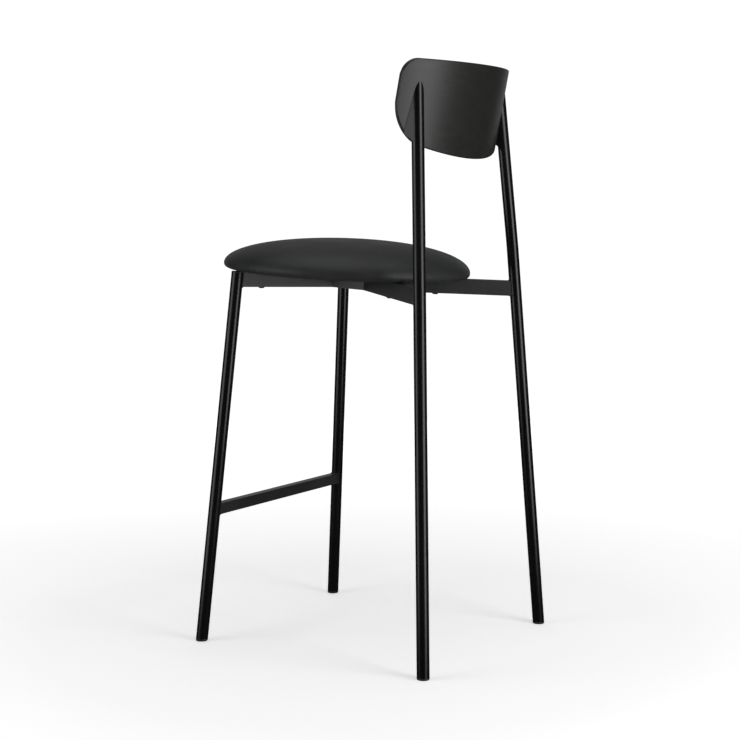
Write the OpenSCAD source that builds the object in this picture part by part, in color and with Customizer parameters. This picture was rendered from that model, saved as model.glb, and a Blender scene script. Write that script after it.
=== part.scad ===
// Bar stool with a round padded seat, four round tube legs, a front footrest and a curved back panel.
// The sitter faces -Y, so the sitter's left is +X. The origin is on the floor, in the middle of the
// object's box. All sizes are in millimetres.

/* [Legs] */
// Outer diameter of the leg tubes
leg_od = 22; // [18:0.5:28]
// Wall of the leg tubes
leg_wall = 1.5; // [1:0.1:3]
// Distance between the middles of the two front feet
front_feet_w = 439.4; // [360:0.2:530]
// Distance between the middles of the two rear feet
rear_feet_w = 440.2; // [360:0.2:530]
// Distance from the front feet to the rear feet
feet_depth = 470; // [390:1:565]
// Sideways lean of the front legs, inwards, in degrees
front_lean_in = 3.65; // [2:0.05:5]
// Lean of the front legs towards the back, in degrees
front_lean_back = 4.79; // [3:0.01:6]
// Sideways lean of the rear legs below the bend, inwards, in degrees
rear_lean_in = 3.83; // [2:0.01:5]
// Lean of the rear legs towards the front, below the bend, in degrees
rear_lean_forward = 3.05; // [2:0.05:5]
// Sideways lean of the rear legs above the bend, in degrees
upper_lean_in = 4.76; // [3:0.01:6]
// Lean of the rear legs towards the front, above the bend, in degrees
upper_lean_forward = 3.72; // [3:0.01:5]
// Height of the gentle bend in the rear legs
bend_z = 720; // [700:1:800]
// Thickness of the glide that shows under each leg
glide_t = 4; // [3:0.5:6]
// Thickness of the cap on each front leg
cap_t = 2; // [1.5:0.5:4]
// Depth of the cap's stem inside the leg
cap_stem = 12; // [8:1:20]
// Depth of the glide's stem inside the leg
glide_stem = 18; // [12:1:30]

/* [Seat frame] */
// Height of the top of the seat frame under the middle of the seat
frame_z = 670.4; // [550:0.1:810]
// Slope of the seat frame, lower at the back, in degrees
frame_tilt = 3.3; // [0:0.1:6]
// Height of the frame bars
arm_h = 28; // [22:1:36]
// Width of the frame bars
arm_w = 15; // [12:1:20]
// Wall of the frame bars and of the footrest
bar_wall = 1.5; // [1:0.1:2.5]
// Distance from the front feet back to the front end of the spine
spine_front = 146; // [110:1:170]
// Length of the spine between the two forks
spine_l = 76; // [60:1:110]

/* [Footrest] */
// Height of the footrest's top
footrest_z = 254; // [180:1:330]
// Height of the footrest bar
footrest_h = 20; // [14:1:26]
// Depth of the footrest bar
footrest_d = 16; // [12:1:20]

/* [Seat] */
// Diameter of the padded seat
seat_d = 456; // [380:1:548]
// Distance from the front feet back to the middle of the seat
seat_back = 177; // [150:1:200]
// Height of the seat's crown above the frame
seat_t = 64; // [50:1:80]
// Height of the widest line of the seat above the frame
rim_z = 9.5; // [7:0.5:14]
// Width of the rounding at the seat's lower edge
roll_r = 11; // [9:0.5:22]
// Roundness of the seat's crown: 2 is an ellipse, more is fuller
crown_n = 2.1; // [1.8:0.05:2.8]
// Distance from the seat's rim in to the edge of the plywood board
board_inset = 28; // [20:1:40]
// Thickness of the board
board_t = 12; // [9:0.5:18]
// Thickness of the seat cover
cover_t = 1.2; // [0.8:0.1:2]
// Width of the cover's turned-in edge under the board
cover_turn = 26; // [16:1:40]
// Thickness of the dust cloth under the board
dust_t = 0.6; // [0.4:0.1:1.2]

/* [Back panel] */
// Height of the middle of the back panel
panel_z = 956; // [860:1:1150]
// Radius of the panel's rear face
panel_r = 294; // [250:1:360]
// Distance around the panel's rear face from the middle of a rear leg out to the panel's end
panel_overhang = 39; // [30:0.1:60]
// Height of the panel at its middle
panel_h = 164; // [130:1:200]
// Thickness of the panel
panel_t = 10; // [7:0.5:14]
// Backward lean of the panel, in degrees
panel_lean = 11.2; // [4:0.1:15]
// Height from the panel's middle up to where the middle of each rear leg meets its rear face
meet_rise = 5.1; // [-10:0.1:20]
// Radius of the panel's upper corners
panel_top_r = 29; // [20:1:50]
// Radius of the panel's lower corners
panel_low_r = 58; // [40:1:70]
// Drop of the panel's upper edge from its middle to its ends
panel_top_drop = 9; // [0:1:20]
// Rise of the panel's lower edge from its middle to its ends
panel_low_rise = 25; // [0:1:35]
// Distance from the lower end of the wedge blocks up to where the leg's middle meets the panel
wedge_l = 62; // [50:1:80]
// Upward slope of the wedge blocks' lower end, towards the panel, in degrees
wedge_slope = 34; // [0:1:45]

/* [Fasteners] */
// Thread diameter of the seat and back screws
screw_d = 6; // [5:0.5:8]
// Diameter of the screw heads
screw_head_d = 12; // [9:0.5:15]
// Height of the screw heads
screw_head_h = 2.4; // [2:0.1:5]
// Gap around a screw in its hole
screw_gap = 0.25; // [0.1:0.05:0.6]
// Distance from the seat screws out to the board's edge or the nearest leg
screw_inset = 35; // [25:1:50]
// Distance between the two back screws on each side
back_screw_step = 22; // [18:1:22]
// Depth of a back screw in its plug
back_screw_grip = 6; // [5:0.5:7]
// Distance from the lower back screw up to where the leg's middle meets the panel
back_screw_drop = 14; // [10:1:16]
// Length of the threaded plug below the point where the leg's middle meets the panel
plug_l = 26; // [20:1:40]
// Wall of the nuts in the seat board
nut_wall = 1.25; // [0.8:0.05:2.5]
// Diameter of the flange on each nut
nut_flange_d = 19; // [14:1:24]
// Thickness of the flange on each nut
nut_flange_t = 1.4; // [1:0.1:2]

/* [Hidden] */
$fn = 96;
weld_gap = 0.1;
seat_gap = 0.3;
// How far the two runs of a rear leg lap in the bend, and how much thinner the upper one is drawn
bend_lap = 1;
bend_step = 0.05;

// ---- places worked out from the sizes above ----
leg_r = leg_od / 2;
bore_r = leg_r - leg_wall;
seat_r = seat_d / 2;
far = 2000;
origin_y = (seat_back - seat_r + feet_depth + leg_r) / 2;
seat_y = seat_back - origin_y;

// Each leg's axis is a foot point and a direction that rises 1 for each unit of length in it.
front_foot = [front_feet_w / 2, -origin_y, 0];
front_dir = [-tan(front_lean_in), tan(front_lean_back), 1];
rear_foot = [rear_feet_w / 2, feet_depth - origin_y, 0];
rear_dir = [-tan(rear_lean_in), -tan(rear_lean_forward), 1];
bend = rear_foot + bend_z * rear_dir;
upper_dir = [-tan(upper_lean_in), -tan(upper_lean_forward), 1];
upper_l = panel_z + panel_h - bend_z;

// The seat frame's own plane: u runs along X, v runs back and down the slope, w is square to it.
frame_c = [0, seat_y, frame_z];
frame_v = [0, cos(frame_tilt), -sin(frame_tilt)];
frame_w = [0, sin(frame_tilt), cos(frame_tilt)];

// Where an axis crosses the middle height of the frame bars, as [u, v]
function meet(foot, dir) =
    let (z = (frame_c - frame_w * arm_h / 2 - foot) * frame_w / (dir * frame_w))
    foot + z * dir;
function to_uv(p) = [p.x, (p - frame_c) * frame_v];
low_meet = meet(rear_foot, rear_dir);
rear_meet = low_meet.z <= bend_z ? low_meet : meet(bend, upper_dir);
front_end = to_uv(meet(front_foot, front_dir));
rear_end = to_uv(rear_meet);
spine_a = [0, (spine_front - seat_back) / cos(frame_tilt)];
spine_b = spine_a + [0, spine_l];

// The seat screws lie where the arms cross one circle around the seat's middle.
function on_circle(p, q, r) =
    let (d = (q - p) / norm(q - p), k = p * d)
    p + d * (sqrt(k * k - p * p + r * r) - k);
board_r = seat_r - board_inset;
arm_reach = min(norm(front_end), norm(rear_end)) - leg_r;
screw_circle_r = min(board_r, arm_reach) - screw_inset;
front_screw = on_circle(spine_a, front_end, screw_circle_r);
rear_screw = on_circle(spine_b, rear_end, screw_circle_r);
screw_places = [for (s = [1, -1], p = [front_screw, rear_screw]) [s * p.x, p.y]];
screw_r = screw_d / 2;
hole_r = screw_r + screw_gap;
nut_d = screw_d + 2 * nut_wall;

// Heights above the frame's top, in layers: dust cloth, turned-in cover, board, foam
board_w = dust_t + cover_t;
foam_w = board_w + board_t;

// A point of the upper leg axis, and the one where it meets the back panel's rear face
function upper_at(z) = bend + (z - bend_z) * upper_dir;
meet_z = panel_z + meet_rise;
meet_p = upper_at(meet_z);

// The back panel's own frame: the middle of its rear face, placed so that the legs meet that face
panel_sag = panel_r - sqrt(pow(panel_r, 2) - pow(meet_p.x, 2));
panel_y = meet_p.y + (panel_sag - meet_rise * sin(panel_lean)) / cos(panel_lean);
panel_c = [0, panel_y, panel_z];
panel_up = [0, sin(panel_lean), cos(panel_lean)];
panel_out = [0, cos(panel_lean), -sin(panel_lean)];

// The place of a point of the upper leg axis in the panel's frame: its turn around the panel's
// centre line, and its height
function turn_at(z) =
    let (d = upper_at(z) - panel_c)
    atan2(d.x, d * panel_out + panel_r);
function height_at(z) = (upper_at(z) - panel_c) * panel_up;
half_w = panel_r * turn_at(meet_z) * PI / 180 + panel_overhang;
half_h = panel_h / 2;
wedge_z = meet_z - wedge_l;
back_screw_z = [for (k = [0, 1]) meet_z - back_screw_drop + k * back_screw_step];
back_screw_l = panel_t + weld_gap + back_screw_grip;

// ---- helpers ----
// Turns +Z onto dir at p, tilting straight over without a twist
module along(p, dir) {
    turn = atan2(dir.y, dir.x);
    translate(p) rotate([0, acos(dir.z / norm(dir)), turn]) rotate([0, 0, -turn]) children();
}

// Round rod of radius r on a leg axis, from height z0 to height z1 above its start point
module rod(p, dir, z0, z1, r) {
    along(p, dir) translate([0, 0, z0 * norm(dir)]) cylinder(h = (z1 - z0) * norm(dir), r = r);
}

module in_frame() {
    translate(frame_c) rotate([-frame_tilt, 0, 0]) children();
}

module in_panel() {
    translate(panel_c) rotate([-panel_lean, 0, 0]) children();
}

// Everything above height w in the seat frame's plane
module above_frame(w) {
    in_frame() translate([-far / 2, -far / 2, w]) cube(far);
}

module below_floor(z) {
    translate([-far / 2, -far / 2, z - far]) cube(far);
}

module right_side() {
    mirror([1, 0, 0]) children();
}

// Solid bar from p to q on its edge, its top at height 0
module bar(p, q, w, h) {
    d = q - p;
    translate([p.x, p.y, -h]) rotate([0, 0, atan2(d.y, d.x)]) translate([0, -w / 2, 0]) cube([norm(d), w, h]);
}

// Rectangular tube from p to q, open at both ends
module box_tube(p, q, w, h) {
    d = (q - p) / norm(q - p);
    difference() {
        bar(p, q, w, h);
        translate([0, 0, -bar_wall]) bar(p - d, q + d, w - 2 * bar_wall, h - 2 * bar_wall);
    }
}

// Everything in front of the flat plane that lies g behind the panel where a rear leg meets it
module ahead_of_panel(g) {
    in_panel() translate([0, -panel_r, 0]) rotate([0, 0, 90 - turn_at(meet_z)])
        translate([panel_r + g - far, -far / 2, -far / 2]) cube(far);
}

// Places children on one back screw's axis, +Z running out through the panel towards the leg
module on_back_screw(z) {
    in_panel() translate([0, -panel_r, height_at(z)]) rotate([0, 0, 90 - turn_at(z)]) rotate([0, 90, 0]) children();
}

module back_holes(r) {
    for (z = back_screw_z)
        on_back_screw(z) translate([0, 0, panel_r / 2]) cylinder(h = panel_r, r = r);
}

// ---- legs ----
module front_leg_solid(r, top) {
    difference() {
        rod(front_foot, front_dir, -20, frame_z + 60, r);
        below_floor(glide_t);
        above_frame(top);
    }
}

module front_leg() {
    color("#1b1b1c") difference() {
        front_leg_solid(leg_r, -cap_t);
        rod(front_foot, front_dir, -30, frame_z + 90, bore_r);
    }
}

// Turns +Z onto the middle direction between the two straight runs of a rear leg, at the bend
module at_bend() {
    along(bend, rear_dir / norm(rear_dir) + upper_dir / norm(upper_dir)) children();
}

// Both runs of a rear leg as solid rods, cut off square to the bend's middle direction: the lower
// run at the bend and the upper one bend_lap below it
module lower_run(r) {
    difference() {
        rod(rear_foot, rear_dir, -20, bend_z + leg_r, r);
        at_bend() translate([-far / 2, -far / 2, 0]) cube(far);
    }
}

module upper_run(r) {
    difference() {
        rod(bend, upper_dir, -leg_r, upper_l, r);
        at_bend() translate([-far / 2, -far / 2, -far - bend_lap]) cube(far);
    }
}

module rear_leg_rods(r) {
    lower_run(r);
    upper_run(r);
}

// The upper run is a hair thinner than the lower one, so that they join in one clean edge
module rear_leg() {
    color("#1b1b1c") difference() {
        union() {
            difference() {
                lower_run(leg_r);
                rod(rear_foot, rear_dir, -30, bend_z + 2 * leg_r, bore_r);
            }
            difference() {
                upper_run(leg_r - bend_step);
                rod(bend, upper_dir, -2 * leg_r, upper_l + 10, bore_r + bend_step);
            }
        }
        below_floor(glide_t);
        ahead_of_panel(weld_gap);
    }
}

module leg_cap() {
    color("#161616") {
        intersection() {
            front_leg_solid(leg_r, 0);
            above_frame(-cap_t);
        }
        intersection() {
            front_leg_solid(bore_r - weld_gap, -cap_t);
            above_frame(-cap_t - cap_stem);
        }
    }
}

module glide(foot, dir) {
    color("#161616") difference() {
        union() {
            rod(foot, dir, -20, glide_t + glide_stem, bore_r - weld_gap);
            difference() {
                rod(foot, dir, -20, glide_t + 10, leg_r);
                translate([-far / 2, -far / 2, glide_t]) cube(far);
            }
        }
        below_floor(0);
    }
}

// ---- seat frame ----
module front_arm() {
    color("#242424") difference() {
        in_frame() difference() {
            box_tube(spine_a, front_end, arm_w, arm_h);
            translate([weld_gap / 2 - far, -far / 2, -far / 2]) cube(far);
            translate([-arm_w / 2 - weld_gap, spine_a.y - weld_gap, -far / 2]) cube([arm_w + 2 * weld_gap, far, far]);
            translate(front_screw) cylinder(h = far, r = hole_r, center = true);
        }
        rod(front_foot, front_dir, 0, frame_z + 60, leg_r + weld_gap);
    }
}

module rear_arm() {
    color("#242424") difference() {
        in_frame() difference() {
            box_tube(spine_b, rear_end, arm_w, arm_h);
            translate([weld_gap / 2 - far, -far / 2, -far / 2]) cube(far);
            translate([-arm_w / 2 - weld_gap, spine_b.y + weld_gap - far, -far / 2]) cube([arm_w + 2 * weld_gap, far, far]);
            translate(rear_screw) cylinder(h = far, r = hole_r, center = true);
        }
        rear_leg_rods(leg_r + weld_gap);
    }
}

module centre_spine() {
    color("#242424") in_frame() box_tube(spine_a, spine_b, arm_w, arm_h);
}

// ---- footrest ----
module footrest_bar() {
    mid = front_foot + (footrest_z - footrest_h / 2) * front_dir;
    color("#2c2c2d") difference() {
        translate([0, mid.y, footrest_z]) box_tube([-mid.x, 0], [mid.x, 0], footrest_d, footrest_h);
        for (s = [0, 1])
            mirror([s, 0, 0]) rod(front_foot, front_dir, 0, frame_z, leg_r + weld_gap);
    }
}

// ---- seat ----
// Half outline of the seat from the lower edge round the rim to the crown, drawn in by g
function roll_curve(g) = [for (a = [-90:15:0])
    [seat_r - roll_r + (roll_r - g) * cos(a), rim_z + (rim_z - dust_t - g) * sin(a)]];
function crown_curve(g) = [for (a = [5:5:90])
    [(seat_r - g) * pow(cos(a), 2 / crown_n), rim_z + (seat_t - rim_z - g) * pow(sin(a), 2 / crown_n)]];
function seat_curve(g) = concat(roll_curve(g), crown_curve(g));

module seat_cover() {
    inner = [for (k = [len(seat_curve(0)) - 1:-1:0]) seat_curve(cover_t)[k]];
    turn = board_r - cover_turn;
    color("#2a2c2c") in_frame() rotate_extrude($fn = 128)
        polygon(concat([[turn, dust_t]], seat_curve(0), inner, [[turn, dust_t + cover_t]]));
}

module seat_foam() {
    g = cover_t + seat_gap;
    color("#d8cfae") in_frame() difference() {
        rotate_extrude($fn = 128) polygon(concat([[0, dust_t + g]], seat_curve(g)));
        cylinder(h = 2 * foam_w, r = board_r + seat_gap, center = true);
    }
}

module seat_board() {
    color("#c8a878") in_frame() difference() {
        translate([0, 0, board_w]) cylinder(h = board_t, r = board_r, $fn = 128);
        for (p = screw_places) translate(p) {
            cylinder(h = far, r = nut_d / 2 + weld_gap, center = true);
            translate([0, 0, foam_w - nut_flange_t]) cylinder(h = far, r = nut_flange_d / 2 + weld_gap);
        }
    }
}

module dust_cloth() {
    color("#202020") in_frame() difference() {
        cylinder(h = dust_t, r = board_r - cover_turn / 3, $fn = 128);
        for (p = screw_places) translate(p) cylinder(h = far, r = hole_r, center = true);
    }
}

module seat_nuts() {
    color("silver") in_frame() for (p = screw_places) translate(p) difference() {
        union() {
            translate([0, 0, board_w + 1]) cylinder(h = board_t - 1, r = nut_d / 2);
            translate([0, 0, foam_w - nut_flange_t]) cylinder(h = nut_flange_t, r = nut_flange_d / 2);
        }
        cylinder(h = far, r = screw_r + weld_gap / 2, center = true);
    }
}

// Button-head screw pointing along +Z, its head's seat at height 0, with a hexagon socket
module screw(l) {
    difference() {
        union() {
            cylinder(h = l, r = screw_r);
            translate([0, 0, -screw_head_h]) cylinder(h = screw_head_h, r1 = screw_head_d / 2 - 1.5, r2 = screw_head_d / 2);
        }
        translate([0, 0, -screw_head_h - 1]) cylinder(h = screw_head_h, r = screw_d / 3, $fn = 6);
    }
}

module seat_screws() {
    color("#1e1e1e") in_frame() for (p = screw_places)
        translate([p.x, p.y, -arm_h]) screw(arm_h + foam_w - 0.5);
}

// ---- back ----
function top_edge(s) = half_h - panel_top_drop * pow(s / half_w, 2);
function low_edge(s) = -half_h + panel_low_rise * pow(s / half_w, 2);
// Upper and lower corner of the flat outline, on the side s = +1 or -1
function top_corner(side) = [for (a = [90:-10:0])
    let (s = half_w - panel_top_r + panel_top_r * cos(a))
    [side * s, top_edge(s) - panel_top_r * (1 - sin(a))]];
function low_corner(side) = [for (a = [0:10:90])
    let (s = half_w - panel_low_r + panel_low_r * cos(a))
    [side * s, low_edge(s) + panel_low_r * (1 - sin(a))]];
function reversed(list) = [for (k = [len(list) - 1:-1:0]) list[k]];
top_run = half_w - panel_top_r;
low_run = half_w - panel_low_r;
flat_outline = concat(
    [for (k = [-0.9:0.1:0.9]) [k * top_run, top_edge(k * top_run)]],
    top_corner(1), low_corner(1),
    [for (k = [0.9:-0.1:-0.9]) [k * low_run, low_edge(k * low_run)]],
    reversed(low_corner(-1)), reversed(top_corner(-1)));
// A point of the flat outline as it lies once the sheet is bent to the panel's radius
function bent(p) = [panel_r * sin(p.x / panel_r * 180 / PI), p.y];

module back_panel() {
    color("#3a3b39") difference() {
        in_panel() intersection() {
            translate([0, -panel_r, -panel_h]) difference() {
                cylinder(h = 2 * panel_h, r = panel_r, $fn = 180);
                translate([0, 0, -1]) cylinder(h = 2 * panel_h + 2, r = panel_r - panel_t, $fn = 180);
            }
            rotate([90, 0, 0]) linear_extrude(height = panel_r) polygon([for (p = flat_outline) bent(p)]);
        }
        back_holes(hole_r);
        right_side() back_holes(hole_r);
    }
}

// Block from a rear leg's tube straight forward to the panel, as wide as the tube
module back_wedge() {
    reach = 2 * leg_od;
    top = panel_z + half_h - wedge_z;
    side = [[0, 0], [-reach, reach * tan(wedge_slope)], [-reach, top], [top * upper_dir.y, top]];
    color("#121212") difference() {
        translate(upper_at(wedge_z)) rotate([0, -upper_lean_in, 0]) rotate([90, 0, 90])
            linear_extrude(height = leg_od, center = true) polygon(side);
        rear_leg_rods(leg_r + weld_gap);
        ahead_of_panel(weld_gap);
    }
}

// Threaded plug welded into the slanting end of a rear leg
module back_plug() {
    color("#2a2a2a") difference() {
        rod(bend, upper_dir, meet_z - plug_l - bend_z, upper_l, bore_r - weld_gap);
        ahead_of_panel(weld_gap);
        for (z = back_screw_z)
            on_back_screw(z) cylinder(h = panel_r + weld_gap + back_screw_grip + 0.5, r = screw_r + weld_gap / 2);
    }
}

module back_screws() {
    color("#1e1e1e") for (s = [0, 1]) mirror([s, 0, 0]) for (z = back_screw_z)
        on_back_screw(z) translate([0, 0, panel_r - panel_t - weld_gap]) screw(back_screw_l);
}

front_leg();  // front_leg_left
right_side() front_leg();  // front_leg_right
rear_leg();  // rear_leg_left
right_side() rear_leg();  // rear_leg_right
front_arm();  // front_arm_left
right_side() front_arm();  // front_arm_right
rear_arm();  // rear_arm_left
right_side() rear_arm();  // rear_arm_right
centre_spine();
footrest_bar();
leg_cap();  // leg_cap_left
right_side() leg_cap();  // leg_cap_right
glide(front_foot, front_dir);  // foot_glide_front_left
right_side() glide(front_foot, front_dir);  // foot_glide_front_right
glide(rear_foot, rear_dir);  // foot_glide_rear_left
right_side() glide(rear_foot, rear_dir);  // foot_glide_rear_right
seat_board();
seat_foam();
seat_cover();
dust_cloth();
seat_screws();
seat_nuts();
back_panel();
back_wedge();  // back_wedge_left
right_side() back_wedge();  // back_wedge_right
back_plug();  // back_plug_left
right_side() back_plug();  // back_plug_right
back_screws();
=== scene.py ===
# %% [markdown]
# # A bar stool with a footrest
# Two front legs, two bent rear legs, a forked seat frame, a round cushion and a curved back
# panel. The CAD part already holds every piece at its real size, so this lesson loads it as a
# fixed frame, keeps the steel as it is, and makes again only what needs a softer or rounder
# shape: the cushion, the cloth under it, the back panel, the glides and the weld beads.

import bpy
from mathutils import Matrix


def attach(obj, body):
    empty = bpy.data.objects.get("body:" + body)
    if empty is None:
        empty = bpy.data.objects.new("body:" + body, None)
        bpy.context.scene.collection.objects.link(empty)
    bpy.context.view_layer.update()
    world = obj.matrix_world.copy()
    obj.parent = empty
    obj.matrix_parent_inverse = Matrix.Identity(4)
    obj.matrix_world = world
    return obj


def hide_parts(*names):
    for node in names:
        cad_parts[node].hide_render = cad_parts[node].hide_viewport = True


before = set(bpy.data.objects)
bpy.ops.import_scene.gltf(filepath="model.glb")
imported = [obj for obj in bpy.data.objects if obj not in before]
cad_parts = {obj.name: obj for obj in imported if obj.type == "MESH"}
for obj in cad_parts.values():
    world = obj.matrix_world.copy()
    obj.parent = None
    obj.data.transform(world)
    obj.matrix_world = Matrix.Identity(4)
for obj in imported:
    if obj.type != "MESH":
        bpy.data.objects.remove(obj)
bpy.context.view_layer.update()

# %% The modules used by all the cells
import math
import bmesh
import bpy
from mathutils import Matrix, Vector

scene = bpy.context.scene
MM = 0.001

# %% [markdown]
# ## Camera and studio
# A stool is best seen from behind at seat height, where the panel, the fork of the seat frame
# and the footrest all show. A long lens keeps the slender legs nearly parallel.

# %% The camera
CAMERA_PLACE = Vector((2.5405, 1.5960, 0.7946))
CAMERA_TURN = math.radians(121.94)
CAMERA_DROP = math.radians(5.762)
look = Vector((-math.sin(CAMERA_TURN) * math.cos(CAMERA_DROP),
               math.cos(CAMERA_TURN) * math.cos(CAMERA_DROP), -math.sin(CAMERA_DROP)))
lens = bpy.data.cameras.new("camera")
lens.lens = 79.23
lens.sensor_width = 36
camera = bpy.data.objects.new("camera", lens)
camera.matrix_world = Matrix.Translation(CAMERA_PLACE) @ look.to_track_quat("-Z", "Y").to_matrix().to_4x4()
scene.collection.objects.link(camera)
scene.camera = camera
scene.view_settings.view_transform = "Standard"
print("camera is", round(CAMERA_PLACE.length, 2), "m from the middle of the feet")

# %% [markdown]
# ## Materials
# Powder coat is nearly black but never flat: it has a faint orange peel and a roughness that
# drifts a little. Each finish below is one Principled shader, with its pattern read from
# Object coordinates, so that it sits still on the piece whichever way it is seen.

# %% A helper that starts a finish
def new_finish(name, colour, roughness, metallic=0.0, specular=0.5):
    """A material with one Principled shader and the object's own coordinates."""
    finish = bpy.data.materials.new(name)
    finish.use_nodes = True
    nodes = finish.node_tree.nodes
    shader = nodes["Principled BSDF"]
    shader.inputs["Base Color"].default_value = (*colour, 1)
    shader.inputs["Roughness"].default_value = roughness
    shader.inputs["Metallic"].default_value = metallic
    shader.inputs["Specular IOR Level"].default_value = specular
    place = nodes.new("ShaderNodeTexCoord")
    return finish, nodes, finish.node_tree.links, shader, place.outputs["Object"]


def noise(nodes, links, place, scale, detail=2.0, stretch=None):
    """Noise at scale waves a metre; stretch turns it into a grain along one direction."""
    texture = nodes.new("ShaderNodeTexNoise")
    texture.inputs["Scale"].default_value = scale
    texture.inputs["Detail"].default_value = detail
    if stretch:
        mapping = nodes.new("ShaderNodeMapping")
        mapping.inputs["Scale"].default_value = stretch
        links.new(place, mapping.inputs["Vector"])
        place = mapping.outputs["Vector"]
    links.new(place, texture.inputs["Vector"])
    return texture.outputs["Fac"]


def blend_colour(nodes, links, factor, dark, light, low=0.35, high=0.65):
    ramp = nodes.new("ShaderNodeValToRGB")
    ramp.color_ramp.elements[0].position = low
    ramp.color_ramp.elements[0].color = (*dark, 1)
    ramp.color_ramp.elements[1].position = high
    ramp.color_ramp.elements[1].color = (*light, 1)
    links.new(factor, ramp.inputs["Fac"])
    return ramp.outputs["Color"]


def spread(nodes, links, factor, low, high):
    """Maps a 0 to 1 pattern to values from low to high."""
    ranged = nodes.new("ShaderNodeMapRange")
    ranged.inputs["From Min"].default_value = 0.3
    ranged.inputs["From Max"].default_value = 0.7
    ranged.inputs["To Min"].default_value = low
    ranged.inputs["To Max"].default_value = high
    links.new(factor, ranged.inputs["Value"])
    return ranged.outputs["Result"]


def raise_bumps(nodes, links, shader, height, depth, strength=1.0):
    bump = nodes.new("ShaderNodeBump")
    bump.inputs["Strength"].default_value = strength
    bump.inputs["Distance"].default_value = depth
    links.new(height, bump.inputs["Height"])
    links.new(bump.outputs["Normal"], shader.inputs["Normal"])


# %% Satin black powder coat, for the steel
def powder_coat(name, dark, light, smooth, dull):
    finish, nodes, links, shader, place = new_finish(name, dark, smooth)
    drift = noise(nodes, links, place, 9.0, 3.0)
    links.new(blend_colour(nodes, links, drift, dark, light), shader.inputs["Base Color"])
    links.new(spread(nodes, links, drift, smooth, dull), shader.inputs["Roughness"])
    raise_bumps(nodes, links, shader, noise(nodes, links, place, 650.0, 1.0), 0.02 * MM)
    return finish


# One powder coat covers all the steel. These three copies differ in brightness only as painted light and
# shade: the tubes are painted darker, the flat bars are painted lighter where light falls on their faces, and
# the weld beads are painted lighter than the tubes.
tube_paint_shade_darkened = powder_coat("tube_powder_coat_painted_shade", (0.0018, 0.0018, 0.002), (0.003, 0.003, 0.0032), 0.22, 0.28)
bar_paint_light_brightened = powder_coat("bar_powder_coat_painted_light", (0.016, 0.016, 0.0162), (0.021, 0.021, 0.0212), 0.34, 0.42)
weld_paint_light_brightened = powder_coat("weld_powder_coat_painted_light", (0.009, 0.009, 0.0095), (0.014, 0.014, 0.0145), 0.30, 0.42)
print("powder coats:", tube_paint_shade_darkened.name, bar_paint_light_brightened.name, weld_paint_light_brightened.name)

# %% Imitation leather, for the cushion
leather, nodes, links, shader, place = new_finish("charcoal_leather", (0.018, 0.0195, 0.019), 0.52,
                                                  specular=0.4)
shading = noise(nodes, links, place, 14.0, 4.0)
links.new(blend_colour(nodes, links, shading, (0.0155, 0.0168, 0.0163), (0.0205, 0.0222, 0.0215)),
          shader.inputs["Base Color"])
links.new(spread(nodes, links, shading, 0.47, 0.57), shader.inputs["Roughness"])
grain = nodes.new("ShaderNodeTexVoronoi")
grain.feature = "SMOOTH_F1"
grain.inputs["Scale"].default_value = 620.0
grain.inputs["Smoothness"].default_value = 0.6
links.new(place, grain.inputs["Vector"])
raise_bumps(nodes, links, shader, grain.outputs["Distance"], 0.05 * MM, 0.55)

# %% Matt black lacquer, for the back panel
lacquer, nodes, links, shader, place = new_finish("panel_lacquer", (0.015, 0.0158, 0.014), 0.38, specular=0.5)
pores = noise(nodes, links, place, 60.0, 5.0, stretch=(0.35, 0.35, 4.0))
links.new(blend_colour(nodes, links, pores, (0.0135, 0.0142, 0.0125), (0.0165, 0.0174, 0.0155)),
          shader.inputs["Base Color"])
links.new(spread(nodes, links, pores, 0.35, 0.41), shader.inputs["Roughness"])
raise_bumps(nodes, links, shader, noise(nodes, links, place, 900.0, 1.0), 0.015 * MM)

# %% Moulded nylon, blackened screws, zinc nuts
nylon, nodes, links, shader, place = new_finish("glide_nylon", (0.012, 0.012, 0.012), 0.5)
links.new(spread(nodes, links, noise(nodes, links, place, 60.0), 0.44, 0.56), shader.inputs["Roughness"])
raise_bumps(nodes, links, shader, noise(nodes, links, place, 1800.0, 1.0), 0.02 * MM)

screw_black, nodes, links, shader, place = new_finish("black_oxide", (0.02, 0.02, 0.021), 0.38, metallic=0.6)
links.new(spread(nodes, links, noise(nodes, links, place, 400.0), 0.32, 0.46), shader.inputs["Roughness"])
raise_bumps(nodes, links, shader, noise(nodes, links, place, 2500.0, 1.0), 0.01 * MM)

zinc, nodes, links, shader, place = new_finish("bright_zinc", (0.62, 0.63, 0.65), 0.3, metallic=1.0)
links.new(spread(nodes, links, noise(nodes, links, place, 500.0), 0.24, 0.42), shader.inputs["Roughness"])

# %% Birch plywood, for the board, and black cloth
plywood, nodes, links, shader, place = new_finish("birch_plywood", (0.6, 0.45, 0.28), 0.6)
layers = noise(nodes, links, place, 40.0, 3.0, stretch=(0.5, 6.0, 14.0))
links.new(blend_colour(nodes, links, layers, (0.46, 0.32, 0.18), (0.66, 0.5, 0.32)),
          shader.inputs["Base Color"])

black_cloth, nodes, links, shader, place = new_finish("non_woven_cloth", (0.02, 0.02, 0.02), 0.9)
fibres = noise(nodes, links, place, 700.0, 4.0)
links.new(blend_colour(nodes, links, fibres, (0.012, 0.012, 0.012), (0.03, 0.03, 0.03)),
          shader.inputs["Base Color"])
raise_bumps(nodes, links, shader, fibres, 0.1 * MM)

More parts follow.
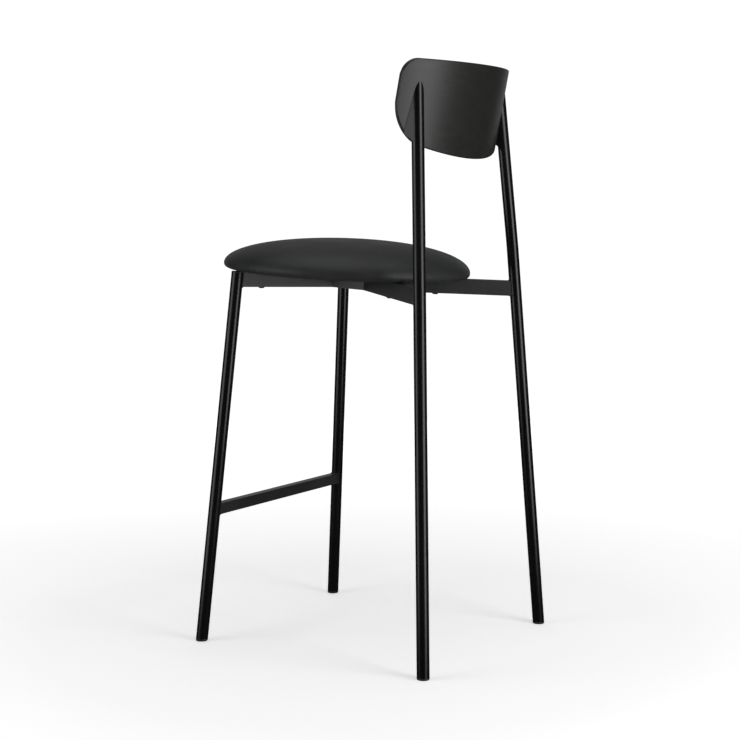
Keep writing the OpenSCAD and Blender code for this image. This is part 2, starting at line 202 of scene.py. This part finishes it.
# %% Give each CAD node its finish
# The tubes and the bars take copies of one powder coat that differ by painted shade and painted light.
FINISHES = {
    tube_paint_shade_darkened: ["front_leg", "rear_leg", "back_wedge", "back_plug"],
    bar_paint_light_brightened: ["front_arm", "rear_arm", "centre_spine", "footrest_bar"],
    nylon: ["leg_cap", "foot_glide"],
    screw_black: ["seat_screws", "back_screws"],
    zinc: ["seat_nuts"],
    plywood: ["seat_board", "seat_foam"],
    leather: ["seat_cover"],
    black_cloth: ["dust_cloth"],
    lacquer: ["back_panel"],
}
for finish, starts in FINISHES.items():
    for name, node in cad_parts.items():
        if name.startswith(tuple(starts)):
            if not node.material_slots:
                node.data.materials.append(finish)
            for material_slot in node.material_slots:
                material_slot.material = finish
print("finished nodes:", len(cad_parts))

# %% [markdown]
# ## The places that the new pieces need
# The seat frame lies in a plane that slopes down towards the back, and the panel leans back.
# A matrix for each turns easy local numbers into the part's own frame. The leg axes are a foot
# point and a direction, which is all that a weld bead needs to know about a tube.

# %% Local frames and leg axes
SEAT_TILT = math.radians(3.3)
PANEL_LEAN = math.radians(11.2)
seat_frame = Matrix.Translation((0, -0.038, 0.6704)) @ Matrix.Rotation(-SEAT_TILT, 4, "X")
panel_frame = Matrix.Translation((0, 0.243005, 0.956)) @ Matrix.Rotation(-PANEL_LEAN, 4, "X")
LEG_RADIUS = 11 * MM


def lean(inwards, backwards):
    return Vector((-math.tan(math.radians(inwards)), math.tan(math.radians(backwards)), 1.0))


FRONT_LEG = (Vector((0.2197, -0.215, 0)), lean(3.65, 4.79))
REAR_LEG = (Vector((0.2201, 0.255, 0)), lean(3.83, -3.05))


def at_height(leg, z):
    return leg[0] + leg[1] * z


print("front leg at the floor:", at_height(FRONT_LEG, 0))


# %% Helpers that turn a bmesh into a piece
def finish_piece(name, mesh_data, finish, smooth=True):
    """Links a mesh as a piece of the stool, riding with its only body."""
    for face in mesh_data.polygons:
        face.use_smooth = smooth
    mesh_data.materials.clear()
    mesh_data.materials.append(finish)
    piece = bpy.data.objects.new(name, mesh_data)
    scene.collection.objects.link(piece)
    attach(piece, "root")
    return piece


def mesh_from(name, bm):
    mesh_data = bpy.data.meshes.new(name)
    bm.to_mesh(mesh_data)
    bm.free()
    return mesh_data


# %% [markdown]
# ## The cushion
# A real pad is a foam disc on a plywood board, with the cover pulled tight and stapled under
# it. Drawn straight from its outline it would look turned on a lathe. So a slightly smaller
# pad is spun, remeshed into even faces and blown up a little as cloth, which rounds it as foam
# does under a tight cover. What swells past the cover's true size is eased back to it, the roll
# under the rim is smoothed, and the crown is raised a little towards the back.

# %% The pad's sizes
SEAT_R = 228 * MM
RIM_Z = 9.5 * MM
CROWN_Z = 64 * MM
ROLL = 11 * MM
UNDER_Z = 0.65 * MM
CROWN_POWER = 2.1
SLACK = 2 * MM
CROWN_EASE = 0.8  # share of the cover's size from which a point of the crown is eased onto it
ROLL_EASE = 0.5  # the same for the roll under the rim
SMOOTH_ABOVE = 5 * MM
SMOOTH_INSIDE = 12 * MM
BACK_RISE = 0.017  # rise of the crown for each metre towards the back


def crown_share(radius, z):
    """1 on the cover's crown, less inside it, more outside."""
    across = (radius / SEAT_R) ** CROWN_POWER
    up = ((z - RIM_Z) / (CROWN_Z - RIM_Z)) ** CROWN_POWER
    return (across + up) ** (1 / CROWN_POWER)


# %% Spin the slack pad
def spun_pad():
    bm = bmesh.new()
    small_r, small_top = SEAT_R - SLACK, CROWN_Z - SLACK
    outline = [Vector((0, 0, UNDER_Z))]
    for step in range(7):
        turn = math.radians(-90 + 15 * step)
        outline.append(Vector((small_r - ROLL + ROLL * math.cos(turn), 0,
                               RIM_Z + (RIM_Z - UNDER_Z) * math.sin(turn))))
    for step in range(1, 19):
        turn = math.radians(5 * step)
        share = 2 / CROWN_POWER
        outline.append(Vector((small_r * max(math.cos(turn), 0) ** share, 0,
                               RIM_Z + (small_top - RIM_Z) * math.sin(turn) ** share)))
    points = [bm.verts.new(place) for place in outline]
    runs = [bm.edges.new(pair) for pair in zip(points, points[1:])]
    bmesh.ops.spin(bm, geom=points + runs, cent=(0, 0, 0), axis=(0, 0, 1), angle=2 * math.pi, steps=96,
                   use_merge=True)
    bmesh.ops.remove_doubles(bm, verts=bm.verts, dist=0.05 * MM)
    bmesh.ops.recalc_face_normals(bm, faces=bm.faces)
    return mesh_from("cushion_start", bm)


def applied(piece):
    """The mesh that a piece's modifiers make."""
    bpy.context.view_layer.update()
    made = piece.evaluated_get(bpy.context.evaluated_depsgraph_get())
    return bpy.data.meshes.new_from_object(made)


pad = bpy.data.objects.new("pad_start", spun_pad())
scene.collection.objects.link(pad)
remesh = pad.modifiers.new("even_faces", "REMESH")
remesh.mode = "VOXEL"
remesh.voxel_size = 5 * MM
even_mesh = applied(pad)
pad.modifiers.remove(remesh)
pad.data = even_mesh
print("even pad:", len(pad.data.vertices), "vertices")

# %% Blow the pad up as cloth
PRESSURE = 4.0
LAST_FRAME = 20
MOST_MOVE = 24 * MM
STAPLED_Z = 1.6 * MM  # the cover is held below this height


def blow_up(piece):
    start = [vertex.co.copy() for vertex in piece.data.vertices]
    held = piece.vertex_groups.new(name="stapled")
    held.add([k for k, place in enumerate(start) if place.z < STAPLED_Z], 1.0, "REPLACE")
    cloth = piece.modifiers.new("cloth", "CLOTH")
    cloth.settings.vertex_group_mass = "stapled"
    cloth.settings.use_pressure = True
    cloth.settings.uniform_pressure_force = PRESSURE
    cloth.settings.tension_stiffness = 25
    cloth.settings.bending_stiffness = 6
    cloth.settings.effector_weights.gravity = 0
    cloth.point_cache.frame_start = 1
    cloth.point_cache.frame_end = LAST_FRAME
    for step in range(1, LAST_FRAME + 1):
        scene.frame_set(step)
    blown = applied(piece)
    piece.modifiers.remove(cloth)
    piece.vertex_groups.clear()
    scene.frame_set(1)
    for vertex, before in zip(blown.vertices, start):
        move = vertex.co - before
        if move.length > MOST_MOVE:
            vertex.co = before + move * (MOST_MOVE / move.length)
    return blown


pad.data = blow_up(pad)
highest = max(vertex.co.z for vertex in pad.data.vertices)
print("the pad is", round(highest / MM, 1), "mm high")


# %% Ease the pad back to the cover's true size
def ease(place):
    """Moves a point onto the cover where it swelled past it, or up to it where it is just short."""
    radius = math.hypot(place.x, place.y)
    if place.z >= RIM_Z:
        share = crown_share(radius, place.z)
        if share > CROWN_EASE:
            place.x /= share
            place.y /= share
            place.z = RIM_Z + (place.z - RIM_Z) / share
        return
    inner = SEAT_R - ROLL
    if radius > inner:
        share = math.hypot((radius - inner) / ROLL, (RIM_Z - place.z) / (RIM_Z - UNDER_Z))
        if share > ROLL_EASE:
            new_radius = inner + (radius - inner) / share
            place.x *= new_radius / radius
            place.y *= new_radius / radius
            place.z = RIM_Z - (RIM_Z - place.z) / share
    place.z = max(place.z, UNDER_Z)


def smooth_roll(mesh, rounds=8):
    """Irons out the cover's creases where it turns under, as a tight cover has none there."""
    bm = bmesh.new()
    bm.from_mesh(mesh)
    roll = [vert for vert in bm.verts if vert.co.z < RIM_Z + SMOOTH_ABOVE
            and math.hypot(vert.co.x, vert.co.y) > SEAT_R - ROLL - SMOOTH_INSIDE]
    for _ in range(rounds):
        bmesh.ops.smooth_vert(bm, verts=roll, factor=0.5, use_axis_x=True, use_axis_y=True, use_axis_z=True)
    bm.to_mesh(mesh)
    bm.free()
    print("smoothed", len(roll), "points of the roll")


for vertex in pad.data.vertices:
    ease(vertex.co)
smooth_roll(pad.data)
for vertex in pad.data.vertices:
    ease(vertex.co)
halve = pad.modifiers.new("halve", "SUBSURF")
halve.levels = halve.render_levels = 1
cushion_mesh = applied(pad)
bpy.data.objects.remove(pad)
for vertex in cushion_mesh.vertices:
    up = max(vertex.co.z - RIM_Z, 0) / (CROWN_Z - RIM_Z)
    vertex.co.z = max(vertex.co.z, UNDER_Z) + BACK_RISE * vertex.co.y * up
cushion_mesh.transform(seat_frame)
cushion = finish_piece("seat_cushion", cushion_mesh, leather)
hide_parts("seat_cover", "seat_foam")
print("cushion:", len(cushion_mesh.polygons), "faces")

# %% [markdown]
# ## The cloth under the seat
# A thin black cloth closes the underside. It lies flat on the seat frame's bars, so it is one
# flat disc with a little thickness, and a ring of faces where its hem would be sewn.

# %% The dust cloth
CLOTH_R = 191 * MM
CLOTH_T = 0.45 * MM
HEM_W = 8 * MM
HEM_SEAM_W = 1.2 * MM
CLOTH_LIFT = 0.05 * MM
bm = bmesh.new()
bmesh.ops.create_circle(bm, cap_ends=True, cap_tris=False, segments=96, radius=CLOTH_R)
bmesh.ops.inset_region(bm, faces=bm.faces[:], thickness=HEM_W, depth=0.0)
hem = [face for face in bm.faces if len(face.verts) == 4]
bmesh.ops.inset_region(bm, faces=hem, thickness=HEM_SEAM_W, depth=0.0)
bmesh.ops.translate(bm, verts=bm.verts, vec=(0, 0, CLOTH_LIFT))
bmesh.ops.solidify(bm, geom=bm.faces[:], thickness=-CLOTH_T)
bmesh.ops.recalc_face_normals(bm, faces=bm.faces)
cloth_mesh = mesh_from("dust_cloth_sheet", bm)
cloth_mesh.transform(seat_frame)
dust_sheet = finish_piece("dust_cloth_sheet", cloth_mesh, black_cloth, smooth=False)
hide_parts("dust_cloth")

# %% [markdown]
# ## The back panel
# Moulded plywood starts as a flat stack of veneers, is pressed to a curve, and then has its
# outline cut and its edges rounded by a router. The piece is made the same way: a flat grid is
# shaped to the outline, given its thickness, rounded at the edges and bent to its radius.

# %% The panel's sizes
PANEL_R = 294 * MM
PANEL_T = 10 * MM
HALF_W = 198.5 * MM
HALF_H = 82 * MM
TOP_DROP, LOW_RISE = 9 * MM, 25 * MM
TOP_CORNER, LOW_CORNER = 29 * MM, 58 * MM
EDGE_ROUND = 2.4 * MM


def upper_edge(s):
    return HALF_H - TOP_DROP * (s / HALF_W) ** 2


def lower_edge(s):
    return -HALF_H + LOW_RISE * (s / HALF_W) ** 2


def corner_drop(s, corner):
    """How far a rounded corner has come away from its edge at s."""
    past = min(max((abs(s) - (HALF_W - corner)) / corner, 0), 1)
    return corner * (1 - math.sqrt(1 - past * past))


def to_outline(across, up):
    """A grid point, each number from -1 to 1, as a point of the flat panel."""
    s = HALF_W * math.sin(across * math.pi / 2)
    top = upper_edge(s) - corner_drop(s, TOP_CORNER)
    low = lower_edge(s) + corner_drop(s, LOW_CORNER)
    return s, low + (top - low) * (up + 1) / 2


def bent(place):
    """Bends the flat panel, drawn in X and Z with its depth along Y, round its own radius."""
    turn = place.x / PANEL_R
    radius = PANEL_R + place.y
    return Vector((radius * math.sin(turn), radius * math.cos(turn) - PANEL_R, place.z))


# %% Shape, thicken, round and bend the panel
bm = bmesh.new()
bmesh.ops.create_grid(bm, x_segments=64, y_segments=18, size=1.0)
for vertex in bm.verts:
    s, height = to_outline(vertex.co.x, vertex.co.y)
    vertex.co = (s, 0.0, height)
bmesh.ops.remove_doubles(bm, verts=bm.verts, dist=0.01 * MM)
rear_faces = bm.faces[:]
thick = bmesh.ops.extrude_face_region(bm, geom=rear_faces)
front_verts = [item for item in thick["geom"] if isinstance(item, bmesh.types.BMVert)]
bmesh.ops.translate(bm, verts=front_verts, vec=(0, -PANEL_T, 0))
bmesh.ops.recalc_face_normals(bm, faces=bm.faces)
rim = [edge for edge in bm.edges if edge.is_manifold and edge.calc_face_angle(0) > math.radians(60)]
bmesh.ops.bevel(bm, geom=rim, offset=EDGE_ROUND, offset_type="OFFSET", affect="EDGES", segments=4,
                profile=0.5, material=-1, clamp_overlap=False)
print("panel rim:", len(rim), "edges rounded")
for vertex in bm.verts:
    vertex.co = bent(vertex.co)
bmesh.ops.recalc_face_normals(bm, faces=bm.faces)
panel_mesh = mesh_from("back_panel_shell", bm)
panel_mesh.transform(panel_frame)
panel = finish_piece("back_panel_shell", panel_mesh, lacquer)
even_light = panel.modifiers.new("even_light", "WEIGHTED_NORMAL")
even_light.keep_sharp = False
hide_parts("back_panel")

# %% [markdown]
# ## The glides
# Each leg stands on a nylon glide pressed into the tube. Its foot is as wide as the tube and
# rounded at the floor, so it doesn't scratch.

# %% Four rounded glides
GLIDE_T = 4 * MM
STEM_L = 18 * MM
STEM_R = 9.4 * MM
FLOOR_ROUND = 1.8 * MM


def near_foot_top(face):
    return face.calc_center_median().z > 0.9 * GLIDE_T


for name, leg, side in (("front_left", FRONT_LEG, 1), ("front_right", FRONT_LEG, -1),
                        ("rear_left", REAR_LEG, 1), ("rear_right", REAR_LEG, -1)):
    bm = bmesh.new()
    bmesh.ops.create_circle(bm, cap_ends=True, segments=64, radius=LEG_RADIUS)
    foot = bmesh.ops.extrude_face_region(bm, geom=bm.faces[:])
    foot_top = [item for item in foot["geom"] if isinstance(item, bmesh.types.BMVert)]
    bmesh.ops.translate(bm, verts=foot_top, vec=(0, 0, GLIDE_T))
    bmesh.ops.inset_region(bm, faces=[face for face in bm.faces if near_foot_top(face)],
                           thickness=LEG_RADIUS - STEM_R, depth=0.0)
    cap = [face for face in bm.faces if len(face.verts) > 4 and near_foot_top(face)]
    stem = bmesh.ops.extrude_face_region(bm, geom=cap)
    bmesh.ops.delete(bm, geom=cap, context="FACES_ONLY")
    stem_top = [item for item in stem["geom"] if isinstance(item, bmesh.types.BMVert)]
    bmesh.ops.translate(bm, verts=stem_top, vec=(0, 0, STEM_L))
    floor_edges = [e for e in bm.edges if all(v.co.z < 0.01 * MM for v in e.verts)]
    bmesh.ops.bevel(bm, geom=floor_edges, offset=FLOOR_ROUND, offset_type="OFFSET", affect="EDGES", segments=4,
                    profile=0.5, material=-1)
    bmesh.ops.recalc_face_normals(bm, faces=bm.faces)
    slope = Vector((side * leg[1].x, leg[1].y, 1))
    for vertex in bm.verts:
        vertex.co += Vector((side * leg[0].x, leg[0].y, 0)) + Vector((slope.x, slope.y, 0)) * vertex.co.z
    glide = finish_piece("glide_" + name, mesh_from("glide_" + name, bm), nylon)
    even_light = glide.modifiers.new("even_light", "WEIGHTED_NORMAL")
    even_light.keep_sharp = False
    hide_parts("foot_glide_" + name)
print("glides on the floor: 4")

# %% [markdown]
# ## The weld beads
# The bars are cut to fit round the tubes and welded all the way round. Powder coat softens the
# bead but doesn't hide it, so each joint gets a thin rippled line that follows where the bar
# meets the tube. A ray along the bar, stopped at the tube's surface, finds that line.

# %% Where a ray meets a tube
BEAD_R = 1.5 * MM
BEAD_STEP = 1.4 * MM


def meets_tube(start, ahead, leg):
    """The first point where a ray from start, along the unit vector ahead, meets the leg's tube."""
    axis = leg[1].normalized()
    away = start - leg[0]
    away_flat = away - axis * away.dot(axis)
    ahead_flat = ahead - axis * ahead.dot(axis)
    a, b = ahead_flat.length_squared, away_flat.dot(ahead_flat)
    c = away_flat.length_squared - LEG_RADIUS ** 2
    under_root = max(b * b - a * c, 0)
    return start + ahead * ((-b - math.sqrt(under_root)) / a)


def round_bar(width, height, grow=0.2 * MM):
    """Points round a bar's outline, as (sideways, up), a bead step apart."""
    half_w, half_h = width / 2 + grow, height / 2 + grow
    corners = [(-half_w, -half_h), (half_w, -half_h), (half_w, half_h), (-half_w, half_h)]
    outline = []
    for (x0, z0), (x1, z1) in zip(corners, corners[1:] + corners[:1]):
        steps = max(int(math.hypot(x1 - x0, z1 - z0) / BEAD_STEP), 1)
        outline += [(x0 + (x1 - x0) * k / steps, z0 + (z1 - z0) * k / steps) for k in range(steps)]
    return outline


def bead(name, path):
    """A rippled weld bead round a closed path, as a mesh."""
    line = bpy.data.curves.new(name, "CURVE")
    line.dimensions = "3D"
    line.bevel_depth = BEAD_R
    line.bevel_resolution = 2
    run = line.splines.new("POLY")
    run.points.add(len(path) - 1)
    run.use_cyclic_u = True
    for k, place in enumerate(path):
        run.points[k].co = (*place, 1)
        run.points[k].radius = 1.0 + 0.13 * math.sin(2.1 * k)
    drawn = bpy.data.objects.new(name + "_line", line)
    scene.collection.objects.link(drawn)
    bead_mesh = applied(drawn)
    bpy.data.objects.remove(drawn)
    bead_mesh.name = name
    return finish_piece(name, bead_mesh, weld_paint_light_brightened)


# %% Beads where the arms meet the legs
ARM_W, ARM_H = 15 * MM, 28 * MM
SPINE_AHEAD = 31 * MM  # from the seat's middle forwards to the spine's front end
SPINE_L = 76 * MM
SPINE_A = Vector((0, -SPINE_AHEAD / math.cos(SEAT_TILT), -ARM_H / 2))
SPINE_B = SPINE_A + Vector((0, SPINE_L, 0))


def at_bar_middle(leg):
    """Where the leg's axis passes the bars' middle height, in the seat frame's own numbers."""
    from_frame = seat_frame.inverted()
    foot = from_frame @ leg[0]
    along = from_frame.to_3x3() @ leg[1]
    return foot + along * ((-ARM_H / 2 - foot.z) / along.z)


def mirrored(path):
    return [Vector((-place.x, place.y, place.z)) for place in path]


def bar_bead(name, start, end, width, height, leg, up=Vector((0, 0, 1))):
    """A bead round a bar from start to end, where it meets the leg there, on both sides of the stool."""
    ahead = (end - start).normalized()
    aside = up.cross(ahead).normalized()
    path = [meets_tube(start + aside * x + up * z, ahead, leg) for x, z in round_bar(width, height)]
    bead(name + "_left", path)
    bead(name + "_right", mirrored(path))


frame_up = seat_frame.to_3x3() @ Vector((0, 0, 1))
bar_bead("weld_front_arm", seat_frame @ SPINE_A, seat_frame @ at_bar_middle(FRONT_LEG), ARM_W, ARM_H,
         FRONT_LEG, frame_up)
bar_bead("weld_rear_arm", seat_frame @ SPINE_B, seat_frame @ at_bar_middle(REAR_LEG), ARM_W, ARM_H,
         REAR_LEG, frame_up)

# %% Beads at the footrest
FOOTREST_Z = 244 * MM  # the bar's middle height
FOOTREST_D, FOOTREST_H = 16 * MM, 20 * MM
footrest_end = at_height(FRONT_LEG, FOOTREST_Z)
footrest_middle = Vector((0, footrest_end.y, FOOTREST_Z))
bar_bead("weld_footrest", footrest_middle, footrest_end, FOOTREST_D, FOOTREST_H, FRONT_LEG)

# %% [markdown]
# ## Floor and light
# The room is a pale floor and a backdrop. The floor glows with painted light, from half strength near the
# stool to full strength 2.6 m away, so the floor round the stool is painted darker.
# Two tall soft lights, one on each side, draw the two bright lines that make a black tube look round.
# A wide, dim one fills the far side, and a light above lifts the seat's crown and the panel's upper edge.

# %% The floor and the backdrop
floor_painted_glow_finish, nodes, links, shader, place = new_finish("floor_white_painted_glow", (0.93, 0.93, 0.93), 0.9, specular=0.0)
links.new(spread(nodes, links, noise(nodes, links, place, 2.0), 0.88, 0.92), shader.inputs["Roughness"])
shader.inputs["Emission Color"].default_value = (1, 1, 1, 1)
# Painted light: the floor glows, from 0.5 within 0.6 m of the middle up to 1.0 at 2.6 m, so round the stool it
# is painted darker.
away = nodes.new("ShaderNodeVectorMath")
away.operation = "LENGTH"
links.new(place, away.inputs[0])
painted_glow_by_distance = nodes.new("ShaderNodeMapRange")
painted_glow_by_distance.inputs["From Min"].default_value = 0.6
painted_glow_by_distance.inputs["From Max"].default_value = 2.6
painted_glow_by_distance.inputs["To Min"].default_value = 0.5
painted_glow_by_distance.inputs["To Max"].default_value = 1.0
links.new(away.outputs["Value"], painted_glow_by_distance.inputs["Value"])
links.new(painted_glow_by_distance.outputs["Result"], shader.inputs["Emission Strength"])
bm = bmesh.new()
bmesh.ops.create_circle(bm, cap_ends=True, segments=96, radius=9.0)
floor = bpy.data.objects.new("floor", mesh_from("floor", bm))
floor.data.materials.append(floor_painted_glow_finish)
floor.visible_glossy = False
scene.collection.objects.link(floor)

backdrop_finish = bpy.data.materials.new("backdrop_white")
backdrop_finish.use_nodes = True
backdrop_nodes = backdrop_finish.node_tree.nodes
backdrop_nodes.remove(backdrop_nodes["Principled BSDF"])
glow = backdrop_nodes.new("ShaderNodeEmission")
glow.inputs["Strength"].default_value = 1.05
backdrop_finish.node_tree.links.new(glow.outputs["Emission"],
                                    backdrop_nodes["Material Output"].inputs["Surface"])
bm = bmesh.new()
bmesh.ops.create_uvsphere(bm, u_segments=48, v_segments=24, radius=12.0)
backdrop = bpy.data.objects.new("backdrop", mesh_from("backdrop", bm))
backdrop.data.materials.append(backdrop_finish)
backdrop.visible_glossy = backdrop.visible_diffuse = backdrop.visible_shadow = False
scene.collection.objects.link(backdrop)

# %% The soft lights
room = bpy.data.worlds.new("room")
room.use_nodes = True
room.node_tree.nodes["Background"].inputs["Color"].default_value = (1, 1, 1, 1)
room.node_tree.nodes["Background"].inputs["Strength"].default_value = 0.03
scene.world = room


def soft_light(name, turn, distance, height, width, tall, brightness):
    """A soft light, turn degrees round from +X, facing the middle. At no distance it looks straight down."""
    lamp = bpy.data.lights.new(name, "AREA")
    lamp.shape = "RECTANGLE"
    lamp.size, lamp.size_y = width, tall
    lamp.energy = brightness * math.pi * width * tall
    place = Vector((distance * math.cos(math.radians(turn)), distance * math.sin(math.radians(turn)), height))
    aim = Vector((0, 0, height)) - place if distance else Vector((0, 0, -1))
    light = bpy.data.objects.new(name, lamp)
    light.matrix_world = Matrix.Translation(place) @ aim.to_track_quat("-Z", "Y").to_matrix().to_4x4()
    light.visible_camera = False
    scene.collection.objects.link(light)


soft_light("right_strip", 84, 2.4, 1.1, 1.2, 2.6, 3.4)
soft_light("left_wide", -34, 2.4, 1.0, 1.5, 2.4, 1.7)
soft_light("far_wide", 212, 3.0, 1.0, 4.0, 2.4, 0.35)
soft_light("overhead", 0, 0, 2.6, 2.6, 2.6, 0.9)
